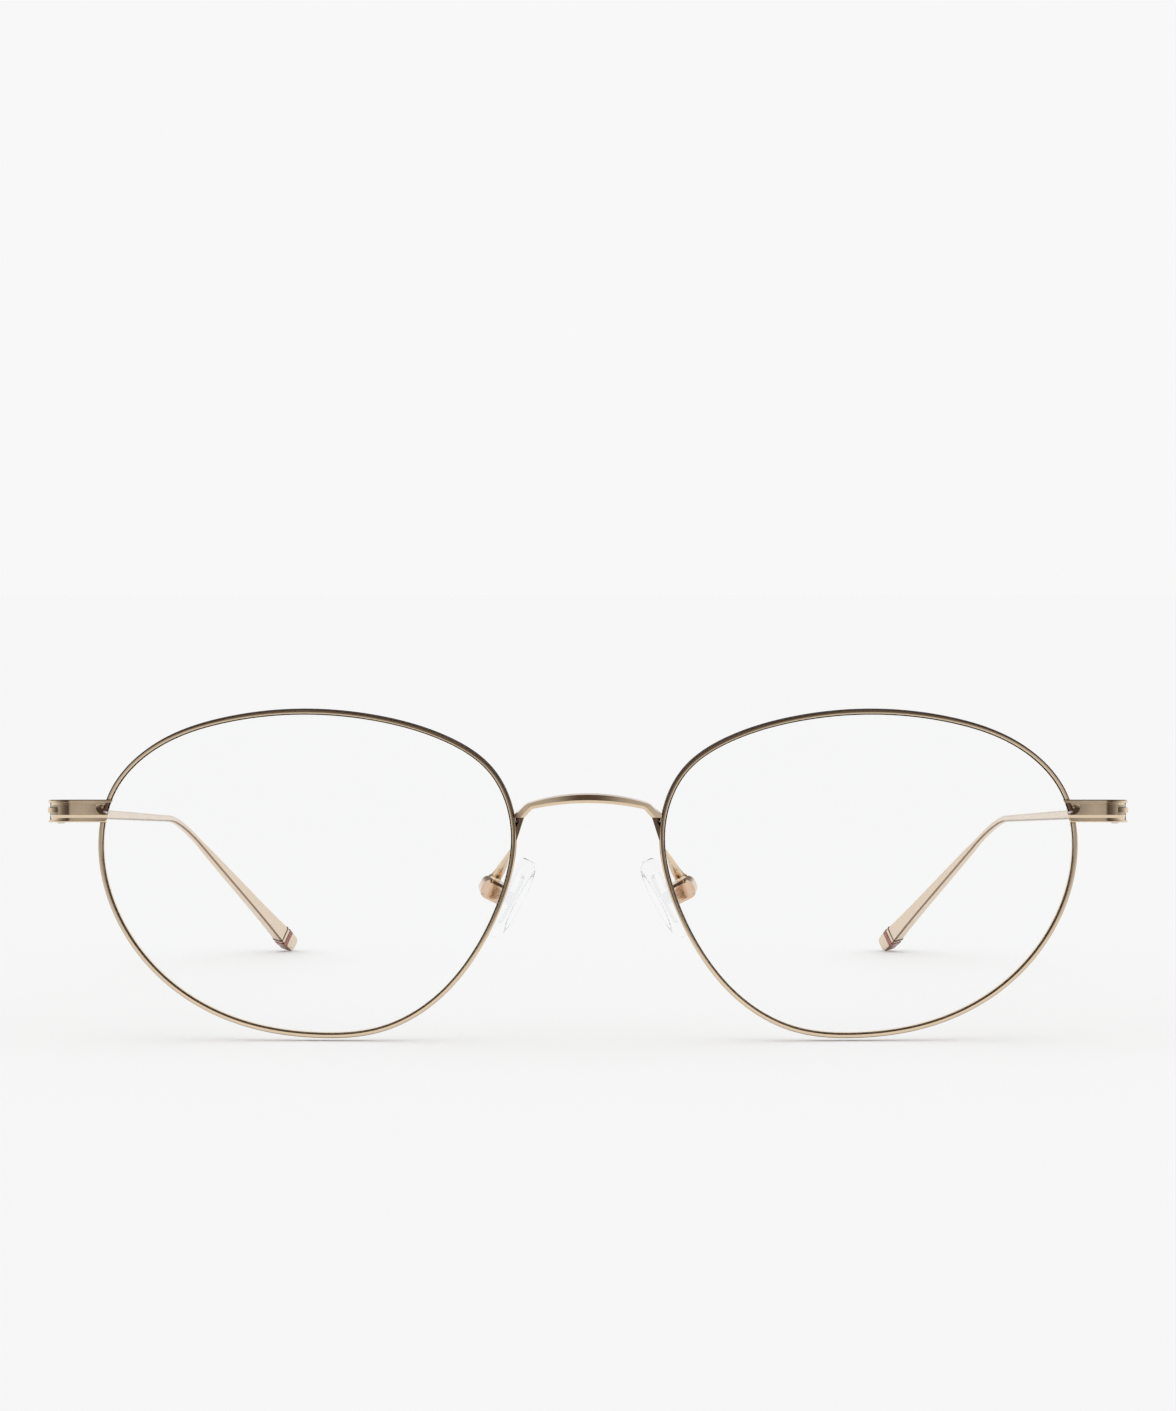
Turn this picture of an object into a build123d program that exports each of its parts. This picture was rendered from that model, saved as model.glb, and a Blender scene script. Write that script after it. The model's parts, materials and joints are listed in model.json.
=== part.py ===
from build123d import *
import os
from math import atan2, cos, degrees, radians, sin, sqrt, tan

# Oval full-rim metal eyeglasses, standing open on a table on the lower rims
# and the temple tips.  X runs across the face, Y back towards the ears and
# Z up, in millimetres.  Left and right are the wearer's, so left is +X.
# Every piece is modelled once on the left and mirrored for the right.

# The lens shape, as an optician boxes it
lens_width = 53.0
lens_height = 42.0
lens_gap = 19.2            # between the two lenses at the bridge
lens_base_radius = 130.0   # sphere that the lenses and the rims lie on
lens_thickness = 1.6
lens_bevel = 0.34          # the edge ridge that sits in the rim
lens_bevel_width = 0.7
face_form = 3.0            # degrees that each lens turns round the face
front_lean = 4.1           # degrees that the front's top leans forward
lens_centre_height = -0.52  # below the bridge line, in the front's own frame

# The outline's points as shares of the half width and half height, from the
# nasal edge over the top to the temporal edge and back along the bottom
outline_shares = [
    (-1.0, 0.262), (-0.887, 0.644), (-0.67, 0.835), (-0.367, 0.954),
    (0.014, 1.0), (0.408, 0.939), (0.724, 0.781), (0.939, 0.499),
    (1.0, 0.167), (0.899, -0.328), (0.644, -0.714), (0.325, -0.925),
    (-0.044, -1.0), (-0.359, -0.958), (-0.618, -0.775), (-0.817, -0.477),
    (-0.957, -0.094),
]

# Rim wire: a grooved, bevelled section that runs round the lens
rim_depth = 1.8
rim_inside = 0.36          # from the lens edge in towards the eye
rim_outside = 0.55         # from the lens edge outwards
rim_bevel = 0.28
groove_width = 0.9
groove_clearance = 0.05
rim_split = 0.12           # where the closing block opens the rim
guide_drop = 5.0           # how far inside the sphere the sweep's guide runs
braze_gap = 0.02           # left open at every brazed or glued seat

# Bridge: a shallow arch with turned-down ends and a foot along each rim
bridge_top = 10.0          # top of the arch above the bridge line
bridge_height = 1.13
bridge_shoulder_in = 1.6   # inwards from the lens edge, as all the bridge's widths
bridge_shoulder = 8.62     # height of the shoulder
bridge_shoulder_round = 1.4
bridge_haunch_in = 2.4
bridge_haunch = 7.98       # height of the underside where it turns down
bridge_haunch_round = 0.8
bridge_throat_in = 1.48
bridge_end = 6.9           # height of the flat ends
bridge_front = -0.55       # front of the arch from the lens apex
bridge_depth = 1.6
bridge_bevel = 0.42
bridge_foot_in = 1.4
bridge_foot_tip_in = 0.74
bridge_foot_bottom = 3.8
bridge_foot_front = 1.0
bridge_foot_depth = 1.0

# Hinge, on an axis square to the temples
hinge_outset = 5.5         # axis out from the lens's outer edge
hinge_behind = 1.46        # axis back from the lens's outer edge
hinge_height = 7.1
temple_slope = 3.91        # degrees that the temples run down to the ears
hinge_radius = 1.7
screw_radius = 0.55
screw_head_radius = 0.95
screw_head_height = 0.4
screw_tip = 0.16
thread_clearance = 0.01
running_clearance = 0.05
knuckle_thickness = 0.71
knuckle_rise = 0.12        # middle of the knuckle above the end piece's middle
washer_thickness = 0.17
washer_radius = 1.3
washer_clearance = 0.03
swing_clearance = 0.1
mitre_gap = 0.1

# End piece: a railed block that wraps round the corner to the hinge
end_height = 2.9
end_face = 2.63            # rail face ahead of the hinge axis
end_corner = 3.2
end_wall = 1.35
end_back_fillet = 0.8
end_overlap = 2.05         # in past the lens's outer edge, before it is trimmed
slot_face_x = 0.6          # the knuckle's slot opens the corner out from here
# The rails and the field between them: heights above the end piece's bottom,
# as shares of its height, each with how far in the face lies as a share of
# the deepest line
rail_depth = 0.4
rail_shares = [(0.0, 0.24), (0.035, 0.0), (0.1, 0.0), (0.1, 1.0), (0.19, 1.0), (0.32, 0.7),
               (0.78, 0.7), (0.78, 1.0), (0.86, 1.0), (0.86, 0.0), (0.965, 0.0), (1.0, 0.24)]
scoop_radius = 1.6         # the hollow at the inner end of the field between the rails
scoop_depth = 0.35
scoop_in = 0.24            # in past the lens's outer edge
scoop_up = 0.5
edge_round = 0.12

# Closing block behind the end piece, split at the rim's joint
lock_inner = 0.07          # in past the lens's outer edge
lock_length = 2.07
lock_back = 0.32
lock_screw_out = 0.95      # out from the lens's outer edge
lock_screw_back = -0.52    # from the hinge axis
lock_height = 1.4
lock_screw_radius = 0.45
lock_head_radius = 0.7
lock_head_height = 0.35
slot_width = 0.2
slot_depth = 0.16

# Temple: places along its own line, which bends down and in behind the ear
temple_start_x = 1.15
temple_bend_x = -6.85
temple_bend_back = 94.4
temple_tip_x = -21.05
temple_tip_back = 136.5
temple_tip_drop = 19.343
temple_bend_run = 8.0
temple_thickness = 1.0
temple_root_height = 2.86
temple_waist_height = 0.9
paddle_height = 2.6
paddle_thickness = 1.8
paddle_twist = 19.0        # degrees that the paddle's top leans in by the ring
temple_edge = 0.22
blade_stations = 7         # sections along the straight run
blade_taper = 3            # power by which the root's extra height dies away
# Where the paddle is measured, as shares of the way from the bend's end to
# the ring, with the share that its height, thickness and twist have grown by
paddle_shares = [(0.0, 0.0), (0.2, 0.24), (0.5, 0.46), (1.0, 1.0)]
leaf_thickness = 0.62
leaf_length = 5.6
leaf_height = 1.7
leaf_fillet = 0.5
ring_thickness = 0.7
ring_proud = 0.03
cap_length = 2.6
cap_round = 1.1
cap_square = 0.01          # edges square to the broad side, by their cosine

# Nose pad, on a screw through its box
pad_screw_out = 2.45       # out from the lens's inner edge
pad_screw_back = 6.5
pad_screw_height = -3.42
pad_tilt = 27.6            # degrees from upright, seen from the front
pad_splay = 8.0            # degrees that the pads open towards the face
pad_length = 11.1
pad_width = 6.8
pad_thickness = 2.35
pad_set = 1.12             # pad's back from the screw axis
pad_front_round = 1.05
pad_back_round = 0.55
core_length = 7.0
core_width = 3.6
core_thickness = 0.45
core_cover = 0.9           # pad material between the core and the pad's back
tab_thickness = 0.8
tab_radius = 0.8
tab_clearance = 0.1
box_inner = 0.72
box_outer = 2.0
box_depth = 3.0
box_height = 2.6
box_wall = 0.38
box_round = 1.0
box_edge = 0.35
pad_screw_radius = 0.4
pad_head_radius = 0.68
pad_head_height = 0.3
tab_hole_clearance = 0.05

# Pad arm: from the rim's back down to the collar on the box; its places are out
# from the lens's inner edge, back from that edge, and up from the bridge line
arm_root = (-0.2, 0.26, 2.5)
arm_knee = (-0.1, 2.56, 2.1)
arm_elbow = (1.2, 4.66, 0.6)
arm_half_width = 0.66
arm_half_depth = 0.46
collar_offset = 0.9        # out from the screw axis along the box
collar_radius = 0.78
collar_height = 0.3

overrun = 4.0              # cutters run this far past what they cut


# Places that more than one piece uses
half_width = lens_width / 2
half_height = lens_height / 2
lens_centre_x = (lens_width + lens_gap) / 2
sphere_centre = Vector(0, lens_base_radius, 0)
inner_edge = lens_gap / 2
outer_edge = inner_edge + lens_width
edge_sag = lens_base_radius - sqrt(lens_base_radius ** 2 - half_width ** 2)
inner_setback = edge_sag - half_width * sin(radians(face_form))
outer_setback = edge_sag + half_width * sin(radians(face_form))
slot_height = knuckle_thickness + 2 * (washer_thickness + 2 * washer_clearance)
slot_bottom = knuckle_rise - slot_height / 2
slot_top = knuckle_rise + slot_height / 2
slot_radius = hinge_radius + swing_clearance
temple_front = hinge_radius + mitre_gap


def ground_clearance():
    """Height of the front's own origin above the table, for rims that just touch it."""
    drop = half_height + rim_outside - lens_centre_height
    sag = half_height ** 2 / (2 * lens_base_radius)
    return drop * cos(radians(front_lean)) - (sag + rim_depth / 2) * sin(radians(front_lean))


front_rise = ground_clearance()
front = Location((0, 0, front_rise), (front_lean, 0, 0))
lens_place = front * Location((lens_centre_x, 0, lens_centre_height), (0, 0, face_form))
hinge_point = front * Location((outer_edge + hinge_outset, outer_setback + hinge_behind, hinge_height))
hinge = Location(tuple(hinge_point.position), (-temple_slope, 0, 0))
pad_place = (front * Location((inner_edge + pad_screw_out, pad_screw_back, pad_screw_height), (0, -pad_tilt, 0))
             * Location((0, 0, 0), (0, 0, -pad_splay)))


# Helpers

def on_sphere(across, up, radius):
    """A point of the outline on a sphere concentric with the lens."""
    back = lens_base_radius - sqrt(lens_base_radius ** 2 - across ** 2 - up ** 2)
    point = Vector(across, back, up) - sphere_centre
    return sphere_centre + point * (radius / lens_base_radius)


def outline_curve(radius):
    """The lens edge as one closed curve on a sphere of the given radius."""
    points = [on_sphere(u * half_width, v * half_height, radius) for u, v in outline_shares]
    return Spline(*points, periodic=True)


def swept_ring(points):
    """Sweeps a section of (outwards, back) points round the lens edge."""
    path = outline_curve(lens_base_radius)
    guide = outline_curve(lens_base_radius - guide_drop)
    start = path.position_at(0)
    inwards = (sphere_centre - start).normalized()
    outwards = inwards.cross(path.tangent_at(0))
    if outwards.dot(start) < 0:
        outwards = -outwards
    plane = Plane(origin=start, x_dir=outwards, z_dir=outwards.cross(inwards))
    return sweep(plane * make_face(Polyline(*points, close=True)), path=path, binormal=Wire([guide]))


def block(x0, x1, y0, y1, z0, z1):
    """A box between two corners."""
    size = Box(abs(x1 - x0), abs(y1 - y0), abs(z1 - z0))
    return Pos((x0 + x1) / 2, (y0 + y1) / 2, (z0 + z1) / 2) * size


def post(radius, z0, z1, x=0, y=0):
    """An upright cylinder between two heights."""
    return Pos(x, y, (z0 + z1) / 2) * Cylinder(radius, z1 - z0)


def largest(shape):
    """The biggest solid of a cut, without the slivers beside it."""
    return max(shape.solids(), key=lambda solid: solid.volume)


def rim_section(grow):
    """Corners of the rim's outside, grown by a seat's gap on every side."""
    inner, outer, half, bevel = rim_inside + grow, rim_outside + grow, rim_depth / 2 + grow, rim_bevel
    return [(-inner, -half + bevel / 2), (-inner + bevel / 2, -half), (outer - bevel, -half),
            (outer, -half + bevel), (outer, half - bevel), (outer - bevel, half),
            (-inner + bevel / 2, half), (-inner, half - bevel / 2)]


# Rim and lens

def make_rim():
    groove = [(-rim_inside, groove_width / 2), (groove_clearance, 0), (-rim_inside, -groove_width / 2)]
    ring = lens_place * swept_ring(rim_section(0) + groove)
    gap = hinge * block(-lens_width / 2, overrun, -lens_width / 2, overrun, -rim_split / 2, rim_split / 2)
    return largest(ring - gap)


def make_rim_seat():
    """The space that the rim takes, which brazed pieces are cut to fit."""
    return lens_place * swept_ring(rim_section(braze_gap))


def lens_column():
    """A column of the lens's outline, a little larger, from before to behind the front."""
    edge = Spline(*[Vector(u * (half_width + rim_outside), 0, v * (half_height + rim_outside))
                    for u, v in outline_shares], periodic=True)
    face = Face(Wire([edge]))
    return extrude(face, amount=2 * overrun, dir=(0, 1, 0)) + extrude(face, amount=overrun, dir=(0, -1, 0))


def lens_shell(thickness):
    """The lens's sphere as a shell of a given thickness."""
    centre = Location(tuple(sphere_centre))
    return (centre * Sphere(lens_base_radius + thickness / 2)
            - centre * Sphere(lens_base_radius - thickness / 2))


def make_opening():
    """The space inside the rim, from before to behind the front."""
    half = overrun / 2
    around = swept_ring([(-rim_inside, -half), (overrun, -half), (overrun, half), (-rim_inside, half)])
    return lens_place * largest(lens_column() - around)


def make_lens():
    blank = lens_column() & lens_shell(lens_thickness)
    shoulder = rim_inside + groove_clearance
    tip = shoulder - lens_bevel
    edger = swept_ring([(-shoulder, -overrun / 2), (overrun / 2, -overrun / 2),
                        (overrun / 2, overrun / 2), (-shoulder, overrun / 2),
                        (-shoulder, lens_bevel_width / 2), (-tip, 0), (-shoulder, -lens_bevel_width / 2)])
    return largest(lens_place * (blank - edger))


# Bridge

def make_bridge(rim_seats):
    """The arch in front view, bowed forward in plan, with a foot down each rim."""
    end = inner_edge
    shoulder_x, haunch_x, throat_x = end - bridge_shoulder_in, end - bridge_haunch_in, end - bridge_throat_in
    outer = [(-end, bridge_end), (-shoulder_x, bridge_shoulder), (0, bridge_top),
             (shoulder_x, bridge_shoulder), (end, bridge_end)]
    inner = [(throat_x, bridge_end), (haunch_x, bridge_haunch), (0, bridge_top - bridge_height),
             (-haunch_x, bridge_haunch), (-throat_x, bridge_end)]
    edges = [Line(outer[0], outer[1]), ThreePointArc(outer[1], outer[2], outer[3]), Line(outer[3], outer[4]),
             Line(outer[4], inner[0]), Line(inner[0], inner[1]), ThreePointArc(inner[1], inner[2], inner[3]),
             Line(inner[3], inner[4]), Line(inner[4], outer[0])]
    face = make_face(edges)
    shoulders = [v for v in face.vertices() if abs(abs(v.X) - shoulder_x) < braze_gap]
    face = fillet(shoulders, bridge_shoulder_round)
    haunches = [v for v in face.vertices() if abs(abs(v.X) - haunch_x) < braze_gap]
    face = fillet(haunches, bridge_haunch_round)
    arch = extrude(Plane.XZ * face, amount=overrun, both=True)
    nose, bow = bridge_front, inner_setback
    band = make_face([ThreePointArc((-end, nose + bow), (0, nose), (end, nose + bow)),
                      Line((end, nose + bow), (end, nose + bow + bridge_depth)),
                      ThreePointArc((end, nose + bow + bridge_depth), (0, nose + bridge_depth),
                                    (-end, nose + bow + bridge_depth)),
                      Line((-end, nose + bow + bridge_depth), (-end, nose + bow))])
    arch = arch & extrude(band, amount=2 * bridge_top)
    under = [e for e in arch.edges()
             if e.center().Y < nose + bow / 2 and e.center().Z < bridge_top - bridge_height / 2
             and e.length > bridge_height]
    arch = chamfer(under, bridge_bevel)
    arch = front * arch
    for side in (1, -1):
        foot = make_face(Polyline((side * (end - bridge_foot_in), bridge_end), (side * end, bridge_end),
                                  (side * end, bridge_foot_bottom),
                                  (side * (end - bridge_foot_tip_in), bridge_foot_bottom), close=True))
        foot = extrude(Plane.XZ * foot, amount=-bridge_foot_depth)
        arch = arch + front * Pos(0, bridge_foot_front, 0) * foot
    for seat in rim_seats:
        arch = arch - seat
    return largest(arch)


# End piece and hinge, all in the hinge's own frame: X out, Y back, Z up

def end_plan(inset):
    """The end piece seen from above, with its face and corner drawn in by an inset."""
    corner = end_corner - inset
    reach = hinge_outset + end_overlap
    middle = (hinge_radius - end_corner, end_corner - end_face)
    side = hinge_radius - inset
    diagonal = sqrt(0.5)
    edges = [Line((-reach, -end_face + inset), (middle[0], -end_face + inset)),
             ThreePointArc((middle[0], -end_face + inset),
                           (middle[0] + corner * diagonal, middle[1] - corner * diagonal),
                           (side, middle[1])),
             Line((side, middle[1]), (side, hinge_radius)),
             Line((side, hinge_radius), (0, hinge_radius)),
             ThreePointArc((0, hinge_radius), (-hinge_radius * diagonal, hinge_radius * diagonal),
                           (-hinge_radius, 0)),
             Line((-hinge_radius, 0), (-hinge_radius, end_wall - end_face)),
             Line((-hinge_radius, end_wall - end_face), (-reach, end_wall - end_face)),
             Line((-reach, end_wall - end_face), (-reach, -end_face + inset))]
    face = make_face(edges)
    inside = [v for v in face.vertices()
              if abs(v.X + hinge_radius) < braze_gap and abs(v.Y - end_wall + end_face) < braze_gap]
    return fillet(inside, end_back_fillet)


def make_end_piece(rim_seat, opening):
    bottom = -end_height / 2
    body = None
    for (low, low_in), (high, high_in) in zip(rail_shares, rail_shares[1:]):
        if high > low:
            plans = [Pos(0, 0, bottom + end_height * share) * end_plan(rail_depth * inset)
                     for share, inset in ((low, low_in), (high, high_in))]
            layer = loft(plans, ruled=True)
            body = layer if body is None else body + layer
    body = body - post(slot_radius, slot_bottom, slot_top)
    body = body - block(-slot_radius, overrun, 0, overrun, slot_bottom, slot_top)
    body = body - block(slot_face_x, overrun, -overrun, overrun, slot_bottom, slot_top)
    body = body - post(screw_radius + thread_clearance, bottom - overrun, slot_bottom)
    body = body - post(screw_radius + running_clearance, slot_top, end_height / 2)
    head_seat = end_height / 2 - screw_head_height - thread_clearance
    body = body - post(screw_head_radius + running_clearance, head_seat, end_height / 2 + overrun)
    field_low, field_high = (bottom + end_height * rail_shares[place][0] for place in (5, 6))
    field_y = -end_face + rail_depth * rail_shares[5][1]
    scoop = Pos(-hinge_outset - scoop_in, field_y + scoop_depth - scoop_radius, scoop_up) * Sphere(scoop_radius)
    body = body - (scoop & block(-hinge_outset - end_overlap, 0, -end_face, 0, field_low, field_high))
    body = hinge * body
    return largest(body - rim_seat - opening)


def make_hinge_screw():
    top = end_height / 2
    under_head = top - screw_head_height
    screw = post(screw_radius, -end_height / 2 - screw_tip, under_head) + post(screw_head_radius, under_head, top)
    low = [e for e in screw.edges() if e.center().Z < -end_height / 2]
    screw = chamfer(low, screw_tip)
    slot = block(-screw_head_radius, screw_head_radius, -slot_width / 2, slot_width / 2, top - slot_depth, top)
    return hinge * (screw - slot)


def make_hinge_washers():
    """The two thin washers that fill the slot above and below the knuckle."""
    washers = []
    for side in (1, -1):
        inner = knuckle_rise + side * (knuckle_thickness / 2 + washer_clearance)
        outer = inner + side * washer_thickness
        low, high = min(inner, outer), max(inner, outer)
        washers.append(hinge * (post(washer_radius, low, high)
                                - post(screw_radius + running_clearance, low, high)))
    return Compound(children=[largest(washer) for washer in washers])


def make_lock(upper):
    """One half of the closing block that clamps the rim round the lens."""
    side = 1 if upper else -1
    inner = -hinge_outset - lock_inner
    centre = (lock_screw_out - hinge_outset, lock_screw_back)
    near, far = side * rim_split / 2, side * lock_height
    half = block(inner, inner + lock_length, end_wall - end_face + braze_gap, lock_back, near, far)
    corners = half.edges().filter_by(Axis.Z).group_by(Axis.Y)[-1]
    half = chamfer(corners, edge_round)
    hole = lock_screw_radius + (thread_clearance if upper else running_clearance)
    half = half - post(hole, -lock_height, lock_height, *centre)
    if not upper:
        half = half - post(lock_head_radius + running_clearance, -lock_height,
                           -lock_height + lock_head_height + thread_clearance, *centre)
    return hinge * half


def make_lock_screw():
    x, y = lock_screw_out - hinge_outset, lock_screw_back
    screw = post(lock_screw_radius, -lock_height, lock_height - edge_round, x, y)
    screw = screw + post(lock_head_radius, -lock_height, -lock_height + lock_head_height, x, y)
    slot = block(x - lock_head_radius, x + lock_head_radius, y - slot_width / 2, y + slot_width / 2,
                 -lock_height, -lock_height + slot_depth)
    return hinge * (screw - slot)


# Temple, in the hinge's frame

def temple_line():
    """Where the temple starts, bends and ends, and the ways its two runs go."""
    start = Vector(temple_start_x, temple_front, 0)
    bend = Vector(temple_bend_x, temple_bend_back, 0)
    tip = Vector(temple_tip_x, temple_tip_back, -temple_tip_drop)
    return start, bend, tip, (bend - start).normalized(), (tip - bend).normalized()


def bevelled(plane, thickness, height):
    """A rectangle with bevelled edges on a plane across the temple."""
    half_t, half_h, bevel = thickness / 2, height / 2, temple_edge
    corners = [(-half_t, -half_h + bevel), (-half_t + bevel, -half_h), (half_t - bevel, -half_h),
               (half_t, -half_h + bevel), (half_t, half_h - bevel), (half_t - bevel, half_h),
               (-half_t + bevel, half_h), (-half_t, half_h - bevel)]
    return plane * make_face(Polyline(*corners, close=True))


def blade_section(at, share):
    """A section across the straight run, with its broad side to the head."""
    first = temple_line()[3]
    side = (Vector(1, 0, 0) - first * first.X).normalized()
    height = temple_waist_height + (temple_root_height - temple_waist_height) * share
    return bevelled(Plane(origin=at, x_dir=side, z_dir=first), temple_thickness, height)


def paddle_section(along, share, grow=0):
    """A section across the paddle, a given way past the bend."""
    start, bend, tip, first, second = temple_line()
    side = (Vector(1, 0, 0) - first * first.X).normalized()
    side = side.rotate(Axis((0, 0, 0), first.cross(second)), first.get_angle(second))
    side = side.rotate(Axis((0, 0, 0), second), -paddle_twist * share)
    thickness = temple_thickness + (paddle_thickness - temple_thickness) * share + 2 * grow
    height = temple_waist_height + (paddle_height - temple_waist_height) * share + 2 * grow
    return bevelled(Plane(origin=bend + second * along, x_dir=side, z_dir=second), thickness, height)


def paddle_reach():
    """How far past the bend the ring sits."""
    start, bend, tip, first, second = temple_line()
    return (tip - bend).length - ring_thickness - cap_length


def make_temple():
    """A tapering straight run, a bend of even section and a paddle that widens to the ring."""
    start, bend, tip, first, second = temple_line()
    enter = bend - first * temple_bend_run
    straight = (enter - start).length
    ways = [station / (blade_stations - 1) for station in range(blade_stations)]
    blade = loft([blade_section(start + first * (straight * way), (1 - way) ** blade_taper) for way in ways])
    turn = first.get_angle(second)
    towards = (second - first * first.dot(second)).normalized()
    centre = enter + towards * (temple_bend_run / tan(radians(turn / 2)))
    blade = blade + revolve(blade_section(enter, 0), axis=Axis(centre, first.cross(second)), revolution_arc=turn)
    paddle = paddle_reach() - temple_bend_run
    blade = blade + loft([paddle_section(temple_bend_run + paddle * along, share)
                          for along, share in paddle_shares])
    return hinge * blade


def make_tip_ring():
    second = temple_line()[4]
    return hinge * extrude(paddle_section(paddle_reach(), 1, ring_proud), amount=ring_thickness, dir=second)


def make_tip_cap():
    """The rounded metal end behind the ring."""
    second = temple_line()[4]
    section = paddle_section(paddle_reach() + ring_thickness, 1)
    cap = extrude(section, amount=cap_length, dir=second)
    end = cap.faces().sort_by(Axis(section.center(), second))[-1]
    broad = max(end.edges(), key=lambda edge: edge.length).tangent_at(0)
    across = [edge for edge in end.edges() if abs(edge.tangent_at(0).dot(broad)) < cap_square]
    return hinge * fillet(across, cap_round)


def make_knuckle():
    """The hinge leaf: a ring round the screw and a plate on the temple's inner side."""
    low = knuckle_rise - knuckle_thickness / 2
    high = low + knuckle_thickness
    inner = temple_start_x - temple_thickness / 2
    ring = post(hinge_radius, low, high)
    neck = block(0, hinge_radius, 0, hinge_radius, low, high)
    bend_angle = degrees(atan2(temple_start_x - temple_bend_x, temple_bend_back - temple_front))
    plate = block(-leaf_thickness - braze_gap, -braze_gap, 0, leaf_length, -leaf_height / 2, leaf_height / 2)
    ends = plate.edges().filter_by(Axis.X).group_by(Axis.Y)[-1]
    plate = fillet(ends, leaf_fillet)
    plate = Pos(inner, temple_front, 0) * Rot(0, 0, bend_angle) * plate
    tail = block(inner - leaf_thickness - braze_gap, hinge_radius, 0, hinge_radius, low, high)
    leaf = ring + neck + tail + plate
    leaf = leaf - post(screw_radius + running_clearance, low - overrun, high + overrun)
    return hinge * largest(leaf)


# Nose pads: X away from the nose, Y back, Z up along the pad

def pad_blank():
    outline = Ellipse(pad_width / 2, pad_length / 2)
    middle = -pad_set - pad_thickness
    body = extrude(Plane.YZ.offset(middle) * outline, amount=pad_thickness)
    nose_side = body.faces().sort_by(Axis.X)[0].edges()
    body = fillet(nose_side, pad_front_round)
    box_side = body.faces().sort_by(Axis.X)[-1].edges()
    return fillet(box_side, pad_back_round)


def core_plate(grow):
    """The stiff plate inside the soft pad, and the tab that the screw holds."""
    back = -pad_set - core_cover
    plate = extrude(Plane.YZ.offset(back - core_thickness - grow)
                    * SlotOverall(core_length + 2 * grow, core_width + 2 * grow, rotation=90),
                    amount=core_thickness + 2 * grow)
    half = tab_thickness / 2 + grow
    tab = block(back - grow, 0, -half, half, -tab_radius - grow, tab_radius + grow)
    tip = Rot(90, 0, 0) * Cylinder(tab_radius + grow, 2 * half)
    return plate + tab + tip


def make_nose_pad():
    return pad_place * largest(pad_blank() - core_plate(braze_gap))


def make_pad_core():
    hole = Rot(90, 0, 0) * Cylinder(pad_screw_radius + tab_hole_clearance, 2 * overrun)
    return pad_place * largest(core_plate(0) - hole)


def make_pad_box():
    half_depth, half_height_box = box_depth / 2, box_height / 2
    box = block(-box_inner, box_outer, -half_depth, half_depth, -half_height_box, half_height_box)
    back = box.edges().filter_by(Axis.Y).group_by(Axis.X)[-1]
    box = fillet(back, box_round)
    face = box.faces().sort_by(Axis.Y)[0]
    box = chamfer(face.edges(), box_edge)
    gap = tab_thickness / 2 + tab_clearance
    pocket = block(-box_inner - overrun, tab_radius + tab_clearance, -gap, gap,
                   -half_height_box + box_wall, half_height_box - box_wall)
    hole = Rot(90, 0, 0) * Cylinder(pad_screw_radius + thread_clearance, 2 * overrun)
    return pad_place * largest(box - pocket - hole)


def make_pad_screw():
    half_depth = box_depth / 2
    shank = Rot(90, 0, 0) * Cylinder(pad_screw_radius, box_depth)
    head = Pos(0, -half_depth - pad_head_height / 2, 0) * Rot(90, 0, 0) * Cylinder(pad_head_radius, pad_head_height)
    screw = shank + head
    face_y = -half_depth - pad_head_height
    for wide, tall in ((pad_head_radius, slot_width / 2), (slot_width / 2, pad_head_radius)):
        screw = screw - block(-wide, wide, face_y, face_y + slot_depth, -tall, tall)
    return pad_place * screw


def make_pad_arm(rim_seat, lens_seat):
    into_pad = pad_place
    foot = into_pad * Location((collar_offset, 0, box_height / 2 + braze_gap))
    down = Vector(*(into_pad * Pos(0, 0, -1)).position) - Vector(*into_pad.position)
    points = [Vector(*(front * Location((inner_edge + out, inner_setback + back, up))).position)
              for out, back, up in (arm_root, arm_knee, arm_elbow)]
    end = Vector(*foot.position)
    away = Vector(*(front * Pos(0, 1, 0)).position) - Vector(*front.position)
    path = Spline(*points, end, tangents=(away, down))
    section = Plane(origin=path.position_at(0), x_dir=(1, 0, 0), z_dir=path.tangent_at(0))
    arm = sweep(section * Ellipse(arm_half_width, arm_half_depth), path=path)
    collar = foot * Pos(0, 0, collar_height / 2) * Cylinder(collar_radius, collar_height)
    return largest(arm + collar - rim_seat - lens_seat)


# Assembly

def build_side():
    """Every piece of the left side, by name."""
    rim_seat = make_rim_seat()
    opening = make_opening()
    box = make_pad_box()
    pieces = {
        "rim": make_rim(),
        "lens": make_lens(),
        "end_piece": make_end_piece(rim_seat, opening),
        "rim_lock_upper": make_lock(True) - rim_seat,
        "rim_lock_lower": make_lock(False) - rim_seat,
        "rim_lock_screw": make_lock_screw(),
        "hinge_screw": make_hinge_screw(),
        "hinge_washers": make_hinge_washers(),
        "temple": make_temple(),
        "temple_knuckle": make_knuckle(),
        "tip_ring": make_tip_ring(),
        "tip_cap": make_tip_cap(),
        "pad_arm": make_pad_arm(rim_seat, opening & (lens_place * lens_shell(rim_depth))),
        "pad_box": box,
        "pad_screw": make_pad_screw(),
        "nose_pad": make_nose_pad(),
        "pad_core": make_pad_core(),
    }
    return pieces, rim_seat


def assembly():
    """Both sides and the bridge, in the front's own place."""
    pieces, rim_seat = build_side()
    nodes = {"bridge": make_bridge([rim_seat, mirror(rim_seat, about=Plane.YZ)])}
    for name, piece in pieces.items():
        nodes["left_" + name] = piece
        nodes["right_" + name] = mirror(piece, about=Plane.YZ)
    return nodes


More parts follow.
